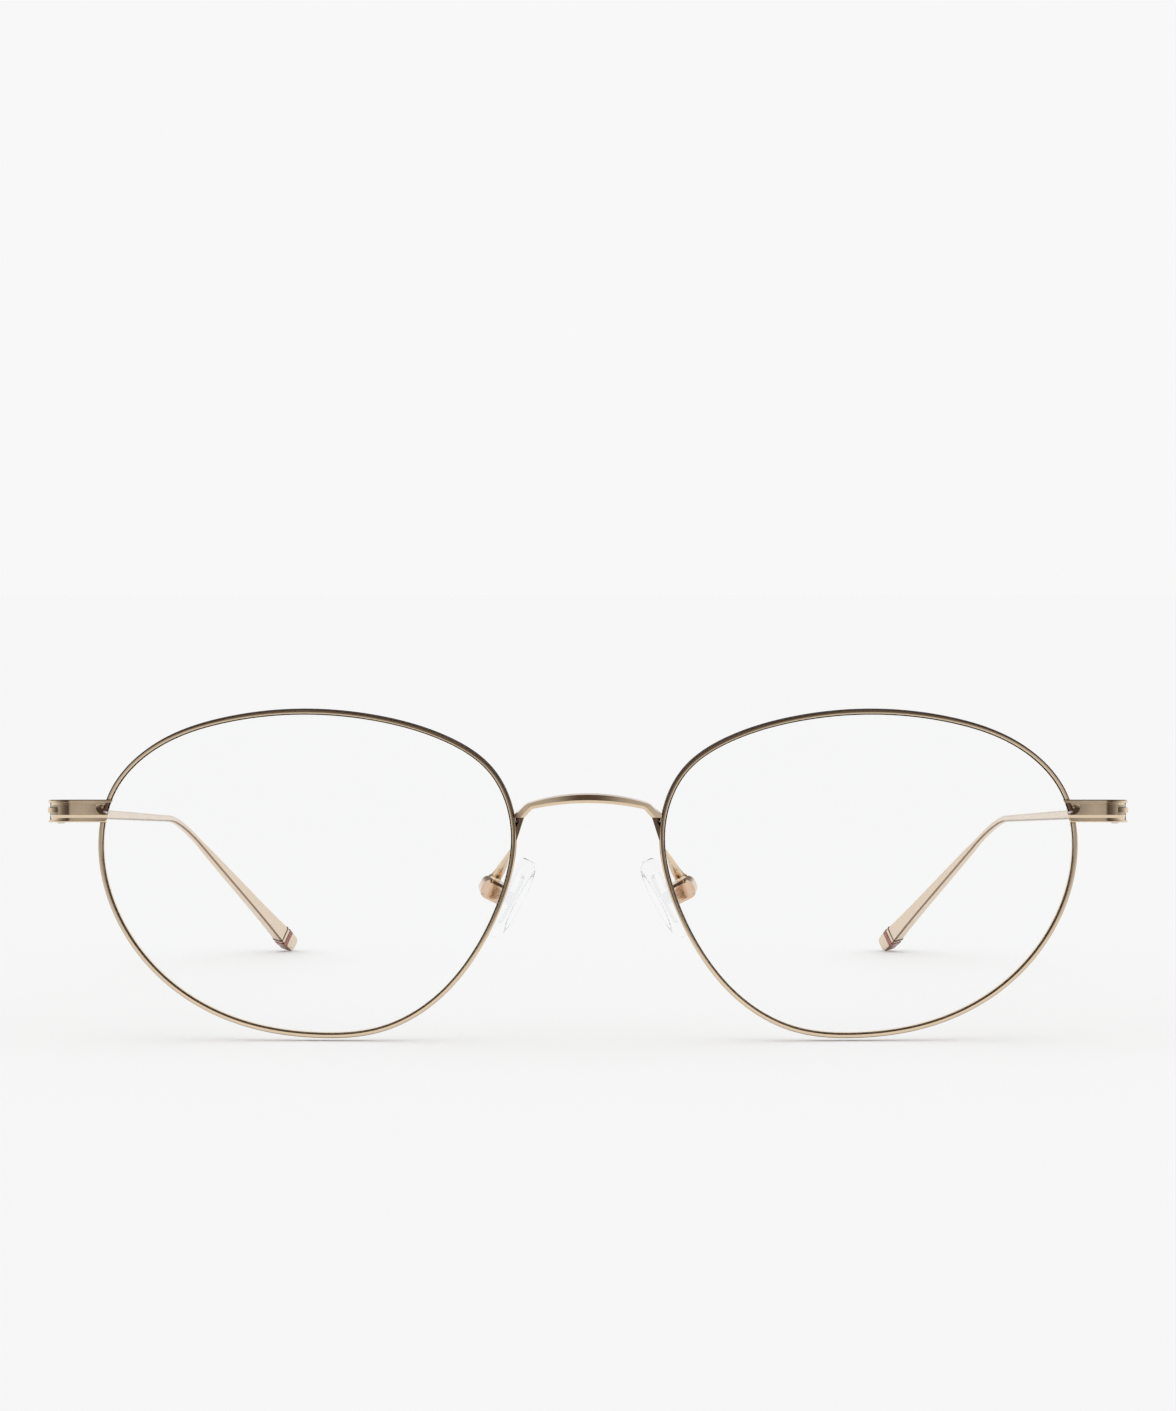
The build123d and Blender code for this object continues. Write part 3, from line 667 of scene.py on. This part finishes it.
def rim_tree():
    """Geometry Nodes: sweeps a rounded profile along a lens edge, square to the lens's axis, and marks its inner
    wall for painted shade.
    """
    tree = bpy.data.node_groups.new("Rim Wire", "GeometryNodeTree")
    sockets = {}
    for label, kind in RIM_INPUTS:
        socket = tree.interface.new_socket(label, in_out="INPUT", socket_type=kind)
        sockets[label] = socket.identifier
    tree.interface.new_socket("Mesh", in_out="OUTPUT", socket_type="NodeSocketGeometry")
    given = node(tree, "NodeGroupInput").outputs
    tangent = node(tree, "GeometryNodeInputTangent").outputs[0]
    outwards = math_node(tree, "CROSS_PRODUCT", given["Lens Axis"], tangent,
                         kind="ShaderNodeVectorMath")
    unit = math_node(tree, "NORMALIZE", outwards, kind="ShaderNodeVectorMath")
    route = node(tree, "GeometryNodeSetCurveNormal", mode="FREE", Curve=given["Path"], Normal=unit)
    outline = node(tree, "GeometryNodeObjectInfo", Object=given["Profile"])
    fillet = node(tree, "GeometryNodeFilletCurve", mode="POLY", Curve=outline.outputs["Geometry"],
                  Count=given["Corner Steps"], Radius=given["Corner Radius"], Limit_Radius=True)
    place = node(tree, "GeometryNodeInputPosition").outputs[0]
    across = node(tree, "ShaderNodeSeparateXYZ", Vector=place).outputs["X"]
    near = node(tree, "ShaderNodeMapRange", Value=across, From_Max=given["Inner Wall"],
                From_Min=given["Inner Fade"])
    # Marks the profile's inner wall for painted shade
    wall = node(tree, "GeometryNodeStoreNamedAttribute", data_type="FLOAT", domain="POINT",
                Geometry=fillet.outputs["Curve"], Name="shaded", Value=near.outputs["Result"])
    sweep = node(tree, "GeometryNodeCurveToMesh", Curve=route.outputs["Curve"],
                 Profile_Curve=wall.outputs["Geometry"], Fill_Caps=True)
    smooth = node(tree, "GeometryNodeSetShadeSmooth", Geometry=sweep.outputs["Mesh"])
    real = node(tree, "GeometryNodeRealizeInstances", Geometry=smooth.outputs["Geometry"])
    coat = node(tree, "GeometryNodeSetMaterial", Geometry=real.outputs["Geometry"],
                Material=given["Finish"])
    node(tree, "NodeGroupOutput", Mesh=coat.outputs["Geometry"])
    return tree, sockets


def rim_section(sizes):
    """The rim's cut: outwards from the lens edge, back along its axis, and with its groove."""
    half, bevel, groove = sizes.rim_depth / 2, sizes.rim_bevel, sizes.rim_groove
    inner, outer = sizes.rim_inside, sizes.rim_outside
    return [(-inner, -half + bevel / 2), (-inner + bevel / 2, -half), (outer - bevel, -half),
            (outer, -half + bevel), (outer, half - bevel), (outer - bevel, half),
            (-inner + bevel / 2, half), (-inner, half - bevel / 2),
            (-inner, groove / 2), (GROOVE_FLOOR, 0.0), (-inner, -groove / 2)]


def curve_object(name, points, closed):
    """A plain poly curve through points."""
    curve = bpy.data.curves.new(name, "CURVE")
    curve.dimensions = "3D"
    spline = curve.splines.new("POLY")
    spline.points.add(len(points) - 1)
    for point, place in zip(spline.points, points):
        point.co = (*place, 1.0)
    spline.use_cyclic_u = closed
    return placed(name, curve)


def plain_result(maker, name):
    """The evaluated mesh of an object with modifiers, as an object of its own."""
    graph = bpy.context.evaluated_depsgraph_get()
    mesh = bpy.data.meshes.new_from_object(maker.evaluated_get(graph))
    mesh.name = name
    return placed(name, mesh)


def outward(mesh):
    """Turns a closed mesh's faces outwards."""
    build = bmesh.new()
    build.from_mesh(mesh)
    bmesh.ops.remove_doubles(build, verts=build.verts, dist=FINE_WELD)
    bmesh.ops.recalc_face_normals(build, faces=build.faces)
    crease(build, RIM_CREASE)
    build.to_mesh(mesh)
    build.free()


def shade_rim(mesh, flip):
    """Paints shade on the rim under the end piece, and lifts the painted shade of its inner wall below the pad
    arm.
    """
    hinge = JOINTS["left_temple_fold"]
    pivot, up = Vector(hinge["pos_m"]), Vector(hinge["axis"])
    wall = mesh.attributes["shaded"].data
    for vertex in mesh.vertices:
        spot = sided(vertex.co, flip)
        away = spot - pivot
        nasal = clamped((NASAL_START - spot.x) / NASAL_FADE)
        lower = clamped((LOWER_START - spot.z) / LOWER_FADE)
        wall[vertex.index].value *= 1.0 - WALL_LIGHTENING * nasal * lower
        # Painted shade over the whole section under the end piece
        if abs(away.dot(up)) < LOCK_SHADE_HALF and away.x > -LOCK_SHADE_REACH:
            wall[vertex.index].value = 1.0


class EYEWEAR_OT_rims(bpy.types.Operator):
    """Make the two grooved rim wires with Geometry Nodes"""

    bl_idname = "eyewear.rims"
    bl_label = "Rims"

    def execute(self, context):
        sizes = context.scene.eyewear_sizes
        path, axis = open_rim_path(sizes.rim_points * RIM_FINENESS, RIM_OPENING)
        path = path[::RIM_FINENESS] + [path[-1]]
        tree, sockets = rim_tree()
        section = [(x, y, 0.0) for x, y in rim_section(sizes)]
        profile = curve_object("rim_profile", section, True)
        for side, flip in SIDES.items():
            route = [(flip * x, y, z) for x, y, z in (path if side == "left" else path[::-1])]
            route = curve_object("rim_route", route, False)
            wire = route.modifiers.new("Rim wire", "NODES")
            wire.node_group = tree
            settings = {"Profile": profile, "Lens Axis": tuple(sided(axis, flip)),
                        "Inner Wall": -sizes.rim_inside,
                        "Inner Fade": -sizes.rim_inside + sizes.rim_bevel / 2,
                        "Corner Radius": sizes.corner, "Corner Steps": CORNER_STEPS,
                        "Finish": finish("rim")}
            for label, value in settings.items():
                wire[sockets[label]] = value
            rim = plain_result(route, side + "_rim_wire")
            bpy.data.objects.remove(route)
            outward(rim.data)
            shade_rim(rim.data, flip)
            finished(rim, side + "_rim")
        bpy.data.objects.remove(profile)
        return {"FINISHED"}


# Lenses

def lens_mesh(name, flip, depth, grip, tip):
    """A meniscus lens whose edge comes to a blunt bevel, in place."""
    around = LENS_AROUND
    outline = periodic_spline(np.array(flat_outline()), around)
    outwards = outward_ways(outline, (0.0, 1.0, 0.0))
    middle = lens_centre()
    build = bmesh.new()

    def corner(flat, back):
        spot = LENS_TURN @ Vector((flat[0], sag(flat[0], flat[2]) + back, flat[2])) + middle
        return build.verts.new(sided(spot, flip))

    loops = []
    for back in (-depth / 2, depth / 2):
        hub = corner((0.0, 0.0, 0.0), back)
        spokes = [[corner((outline[here] + outwards[here] * grip) * (ring + 1) / LENS_RINGS, back)
                   for here in range(around)] for ring in range(LENS_RINGS)]
        for here in range(around):
            there = (here + 1) % around
            build.faces.new((hub, spokes[0][here], spokes[0][there]))
            for inside, outside in zip(spokes, spokes[1:]):
                build.faces.new((inside[here], outside[here], outside[there], inside[there]))
        loops.append(spokes[-1])
    ridge = [corner(outline[here] + outwards[here] * tip, 0.0) for here in range(around)]
    for near, far in ((loops[0], ridge), (ridge, loops[1])):
        for here in range(around):
            there = (here + 1) % around
            build.faces.new((near[here], far[here], far[there], near[there]))
    bmesh.ops.recalc_face_normals(build, faces=build.faces)
    for face in build.faces:
        face.smooth = True
    crease(build, LENS_CREASE)
    return mesh_of(build, name)


class EYEWEAR_OT_lenses(bpy.types.Operator):
    """Make the two clear lenses"""

    bl_idname = "eyewear.lenses"
    bl_label = "Lenses"

    def execute(self, context):
        sizes = context.scene.eyewear_sizes
        for side, flip in SIDES.items():
            mesh = lens_mesh(side + "_lens_blank", flip, sizes.lens_depth,
                             LENS_GRIP - sizes.rim_inside, LENS_TIP - sizes.rim_inside)
            mesh.materials.append(finish("lens"))
            lens = placed(side + "_lens_blank", mesh)
            see_through(lens)
            finished(lens, side + "_lens")
        return {"FINISHED"}


# Bridge, end pieces and hinges

def reseat(mesh):
    """Moves what lies close to a rim a little way into it."""
    edge, axis = open_rim_path(SEAT_POINTS, 0.0)
    edge = np.array(edge)
    outwards = outward_ways(edge, axis)
    outside = bpy.context.scene.eyewear_sizes.rim_outside
    for vertex in mesh.vertices:
        flip = math.copysign(1.0, vertex.co.x)
        spot = np.array(sided(vertex.co, flip))
        near = int(np.argmin(np.linalg.norm(edge - spot, axis=1)))
        away = spot - edge[near]
        gap = away @ outwards[near] - outside
        if gap < SEAT_REACH and abs(away @ np.array(axis)) < SEAT_DEPTH:
            vertex.co = sided(Vector(spot - outwards[near] * (gap + SEAT_SINK)), flip)


class EYEWEAR_OT_bridge(bpy.types.Operator):
    """Make the arched bridge with its feet"""

    bl_idname = "eyewear.bridge"
    bl_label = "Bridge"

    def execute(self, context):
        bridge = refined("bridge", "front", soften=2.0, sharp=14.0)
        reseat(bridge.data)
        return {"FINISHED"}


class EYEWEAR_OT_end_pieces(bpy.types.Operator):
    """Make the railed end pieces and the closing blocks behind them"""

    bl_idname = "eyewear.end_pieces"
    bl_label = "End pieces"

    def execute(self, context):
        for side in SIDES:
            refined(side + "_end_piece", "front", sharp=11.0)
            refined(side + "_rim_lock_upper", "front")
            refined(side + "_rim_lock_lower", "front")
            refined(side + "_rim_lock_screw", "steel")
        return {"FINISHED"}


class EYEWEAR_OT_hinges(bpy.types.Operator):
    """Make the hinge leaves, washers and screws"""

    bl_idname = "eyewear.hinges"
    bl_label = "Hinges"

    def execute(self, context):
        for side in SIDES:
            refined(side + "_temple_knuckle", "front")
            refined(side + "_hinge_washers", "nylon", soften=0.0)
            refined(side + "_hinge_screw", "steel")
        return {"FINISHED"}


# Temples

def lower_chamfer(face, flip):
    """Whether a temple's face lies between its inner side and its lower edge, where a dark reflection is painted.
    """
    bent = clamped((face.calc_center_median().y - BEND_START) / BEND_RUN)
    normal = sided(face.normal, flip)
    return all(normal.dot(before.lerp(past, bent).normalized()) > CHAMFER_SHARE
               for before, past in (INNER_SIDE, LOWER_SIDE))


def cap_underside(face):
    """Whether a tip cap's face looks down and forward, where a dark reflection is painted."""
    return face.normal.z < CAP_DOWN and face.normal.y < CAP_FORWARD


def ring_axis(mesh):
    """A tip ring's middle, and the way from it up the temple."""
    end = max(mesh.polygons, key=lambda face: face.area)
    axis = end.normal if end.normal.y < 0 else -end.normal
    spots = [vertex.co for vertex in mesh.vertices]
    return sum(spots, Vector()) / len(spots), axis.normalized()


def groove_band(mesh):
    """A copy of a tip ring, squeezed to a narrow band further up the temple, to carry a painted shadow line."""
    middle, axis = ring_axis(mesh)
    band = mesh.copy()
    spots = [(vertex.co - middle).dot(axis) for vertex in band.vertices]
    squeeze = BAND_WIDTH / (max(spots) - min(spots))
    for vertex, along in zip(band.vertices, spots):
        flat = vertex.co - middle - axis * along
        vertex.co = middle + flat * BAND_SCALE + axis * (along * squeeze + BAND_AWAY)
    return band


def stretch_ring(mesh):
    """Lengthens a tip ring up the temple and lets it stand out a little."""
    middle, axis = ring_axis(mesh)
    for vertex in mesh.vertices:
        away = vertex.co - middle
        along = axis * away.dot(axis)
        moved = RING_REACH if away.dot(axis) > 0 else 0.0
        vertex.co = middle + along + axis * moved + (away - along) * RING_SCALE


class EYEWEAR_OT_temples(bpy.types.Operator):
    """Make the temples with their enamel rings and metal tips"""

    bl_idname = "eyewear.temples"
    bl_label = "Temples"

    def execute(self, context):
        for side, flip in SIDES.items():
            temple = refined(side + "_temple", "temple", sharp=30.0)
            # Painted dark reflection on the lower chamfers
            shade_faces(temple.data, lambda face: lower_chamfer(face, flip))
            ring = refined(side + "_tip_ring", "enamel", soften=0.0)
            band = groove_band(ring.data)
            stretch_ring(ring.data)
            # The band takes the painted groove shade
            add_mesh(ring.data, band, finish("groove"))
            cap = refined(side + "_tip_cap", "temple", soften=5.0, sharp=32.0)
            # Painted dark reflection under the cap
            shade_faces(cap.data, cap_underside)
        return {"FINISHED"}


# Pad arms and nose pads

def tapered_wire(name, path, widths, depths, across):
    """A closed wire of changing oval section along a smooth path through points."""
    ways = np.concatenate([[0.0], np.cumsum(np.linalg.norm(np.diff(path, axis=0), axis=1))])
    ways /= ways[-1]
    at = np.linspace(0, 1, WIRE_STEPS)
    fits = [np.polyfit(ways, path[:, axis], len(path) - 1) for axis in range(3)]
    line = np.stack([np.polyval(fit, at) for fit in fits], axis=1)
    wide, deep = (np.interp(at, ways, values) for values in (widths, depths))
    build = bmesh.new()
    loops = []
    for here in range(WIRE_STEPS):
        along = line[min(here + 1, WIRE_STEPS - 1)] - line[max(here - 1, 0)]
        along /= np.linalg.norm(along)
        side = across - along * (across @ along)
        side /= np.linalg.norm(side)
        back = np.cross(along, side)
        loops.append([build.verts.new(line[here] + side * wide[here] * math.cos(turn)
                                      + back * deep[here] * math.sin(turn))
                      for turn in np.linspace(0, 2 * math.pi, WIRE_SIDES, endpoint=False)])
    for near, far in zip(loops, loops[1:]):
        for here in range(WIRE_SIDES):
            there = (here + 1) % WIRE_SIDES
            build.faces.new((near[here], near[there], far[there], far[here]))
    build.faces.new(loops[0])
    build.faces.new(loops[-1])
    bmesh.ops.recalc_face_normals(build, faces=build.faces)
    for face in build.faces:
        face.smooth = len(face.verts) == 4
    return mesh_of(build, name)


def arm_fin(side, flip):
    """A pad arm that widens from the rim's back to the collar on the pad box."""
    pivot = np.array(JOINTS["left_pad_rock"]["pos_m"])
    path = (pivot + np.array(ARM_PATH)) * (flip, 1.0, 1.0)
    foot = (pivot + np.array(COLLAR_PATH)) * (flip, 1.0, 1.0)
    across = np.array((1.0, 0.0, ARM_SLOPE * flip))
    fin = tapered_wire(side + "_arm_fin", path, ARM_WIDTHS, ARM_DEPTHS, across)
    collar = tapered_wire(side + "_collar", foot, (COLLAR_WIDTH, COLLAR_WIDTH),
                          (COLLAR_DEPTH, COLLAR_DEPTH), across)
    add_mesh(fin, collar)
    fin.materials.append(finish("front"))
    return finished(placed(side + "_arm_fin", fin), side + "_pad_arm")


class EYEWEAR_OT_pad_arms(bpy.types.Operator):
    """Make the pad arms, their boxes and the cross-slot screws"""

    bl_idname = "eyewear.pad_arms"
    bl_label = "Pad arms"

    def execute(self, context):
        for side, flip in SIDES.items():
            arm_fin(side, flip)
            refined(side + "_pad_box", "rose", sharp=24.0)
            refined(side + "_pad_screw", "dark rose")
        return {"FINISHED"}


class EYEWEAR_OT_nose_pads(bpy.types.Operator):
    """Make the clear nose pads with the cores inside them"""

    bl_idname = "eyewear.nose_pads"
    bl_label = "Nose pads"

    def execute(self, context):
        for side in SIDES:
            see_through(refined(side + "_nose_pad", "pad", soften=0.0, flat=0.02, sharp=50.0))
            see_through(refined(side + "_pad_core", "core", soften=0.0))
        return {"FINISHED"}


# Stage

def mirrored(tree):
    """Whether metal sees the studio, and not the eye through a lens or a pad."""
    path = node(tree, "ShaderNodeLightPath").outputs
    straight = math_node(tree, "SUBTRACT", path["Is Glossy Ray"], path["Is Transmission Ray"])
    return math_node(tree, "MAXIMUM", straight, 0.0)


def paper_material(look):
    """Plain paper; metal sees it end in front, where the dark room and the camera are."""
    material, tree, shader = blank_material("Studio paper")
    spot = node(tree, "ShaderNodeSeparateXYZ", Vector=object_place(tree)).outputs
    aside = math_node(tree, "ABSOLUTE", spot["X"])
    clear_of = math_node(tree, "MAXIMUM", eased(tree, aside, *CAMERA_BESIDE),
                         eased(tree, spot["Y"], *CAMERA_BEHIND))
    lit = math_node(tree, "MULTIPLY", eased(tree, spot["Y"], *PAPER_END), clear_of)
    far = mix_colour(tree, lit, DARK_PAPER, look.paper)
    tree.links.new(mix_colour(tree, mirrored(tree), look.paper, far), shader.inputs["Base Color"])
    shader.inputs["Roughness"].default_value = PAPER_ROUGHNESS
    shader.inputs["Specular IOR Level"].default_value = 0.0
    return material


def paper_floor(look):
    """A wide sheet of paper under the eyeglasses."""
    build = bmesh.new()
    bmesh.ops.create_grid(build, x_segments=FLOOR_CELLS, y_segments=FLOOR_CELLS, size=FLOOR_HALF)
    mesh = mesh_of(build, "paper_floor")
    mesh.materials.append(paper_material(look))
    return placed("paper_floor", mesh)


def light_strip(tree, parts):
    """How bright the strip at each side of the dark room is, in the direction looked in."""
    aside = math_node(tree, "ABSOLUTE", parts["X"])
    strip = eased(tree, aside, *STRIP_RISE)
    for share, near, far in STRIP_FALLS:
        fall = math_node(tree, "MULTIPLY", eased(tree, aside, near, far), share)
        strip = math_node(tree, "SUBTRACT", strip, fall)
    low = math_node(tree, "SUBTRACT", 1.0, eased(tree, parts["Z"], *STRIP_TOP))
    return math_node(tree, "MULTIPLY", math_node(tree, "MULTIPLY", strip, low), STRIP_LIGHT)


def studio_world(look):
    """Even light, a pale backdrop, and for metal a dark room with light strips and a table."""
    world = bpy.data.worlds.new("Studio")
    world.use_nodes = True
    tree = world.node_tree
    tree.nodes.clear()
    sky = node(tree, "ShaderNodeTexCoord").outputs["Generated"]
    parts = node(tree, "ShaderNodeSeparateXYZ", Vector=sky).outputs
    edge = math_node(tree, "ADD", math_node(tree, "MULTIPLY", parts["Y"], TABLE_SLOPE), TABLE_EDGE)
    above = math_node(tree, "SUBTRACT", parts["Z"], edge)
    room = mix_colour(tree, eased(tree, above, *TABLE_FADE), look.paper, DARK_ROOM)
    room = mix_colour(tree, light_strip(tree, parts), room, look.paper)
    path = node(tree, "ShaderNodeLightPath").outputs
    even = mix_colour(tree, path["Is Diffuse Ray"], look.paper, WHITE)
    seen = mix_colour(tree, mirrored(tree), even, room)
    glow = node(tree, "ShaderNodeBackground", Color=seen, Strength=1.0)
    node(tree, "ShaderNodeOutputWorld", Surface=glow.outputs[0])
    return world


def studio_camera(sizes):
    """A camera in front of the eyeglasses that looks down a little."""
    data = bpy.data.cameras.new("camera")
    data.sensor_fit = "HORIZONTAL"
    data.sensor_width, data.lens = SENSOR_WIDTH, FOCAL_LENGTH
    data.clip_start, data.clip_end = CLIP_START, CLIP_END
    camera = placed("camera", data)
    camera.location = (0.0, -sizes.camera_back, sizes.camera_height)
    camera.rotation_euler = (math.pi / 2 - sizes.camera_pitch, 0.0, 0.0)
    return camera


class EYEWEAR_OT_stage(bpy.types.Operator):
    """Make the paper floor, the soft light and the camera"""

    bl_idname = "eyewear.stage"
    bl_label = "Stage"

    def execute(self, context):
        scene = context.scene
        floor = paper_floor(scene.eyewear_finishes)
        scene.world = studio_world(scene.eyewear_finishes)
        scene.camera = studio_camera(scene.eyewear_sizes)
        scene.view_settings.view_transform = "Standard"
        return {"FINISHED"}


class EYEWEAR_PT_panel(bpy.types.Panel):
    """Lists the making steps and the sizes"""

    bl_idname = "EYEWEAR_PT_panel"
    bl_label = "Eyeglasses"
    bl_space_type = "VIEW_3D"
    bl_region_type = "UI"
    bl_category = "Eyeglasses"

    def draw(self, context):
        layout = self.layout
        for step in STEPS:
            layout.operator(step.bl_idname)
        for group in (context.scene.eyewear_sizes, context.scene.eyewear_finishes):
            box = layout.box()
            for name in group.bl_rna.properties.keys():
                if name not in {"rna_type", "name"}:
                    box.prop(group, name)


STEPS = (EYEWEAR_OT_stage, EYEWEAR_OT_rims, EYEWEAR_OT_lenses, EYEWEAR_OT_bridge,
         EYEWEAR_OT_end_pieces, EYEWEAR_OT_hinges, EYEWEAR_OT_temples,
         EYEWEAR_OT_pad_arms, EYEWEAR_OT_nose_pads)
CLASSES = (EyewearFinishes, EyewearSizes, *STEPS, EYEWEAR_PT_panel)


def register():
    """Adds the classes and their scene settings."""
    for kind in CLASSES:
        bpy.utils.register_class(kind)
    bpy.types.Scene.eyewear_finishes = PointerProperty(type=EyewearFinishes)
    bpy.types.Scene.eyewear_sizes = PointerProperty(type=EyewearSizes)


def unregister():
    """Takes them out again."""
    del bpy.types.Scene.eyewear_sizes
    del bpy.types.Scene.eyewear_finishes
    for kind in reversed(CLASSES):
        bpy.utils.unregister_class(kind)


def main():
    """Makes the whole object."""
    register()
    bpy.ops.eyewear.stage()
    bpy.ops.eyewear.rims()
    bpy.ops.eyewear.lenses()
    bpy.ops.eyewear.bridge()
    bpy.ops.eyewear.end_pieces()
    bpy.ops.eyewear.hinges()
    bpy.ops.eyewear.temples()
    bpy.ops.eyewear.pad_arms()
    bpy.ops.eyewear.nose_pads()


if __name__ == "__main__":
    main()
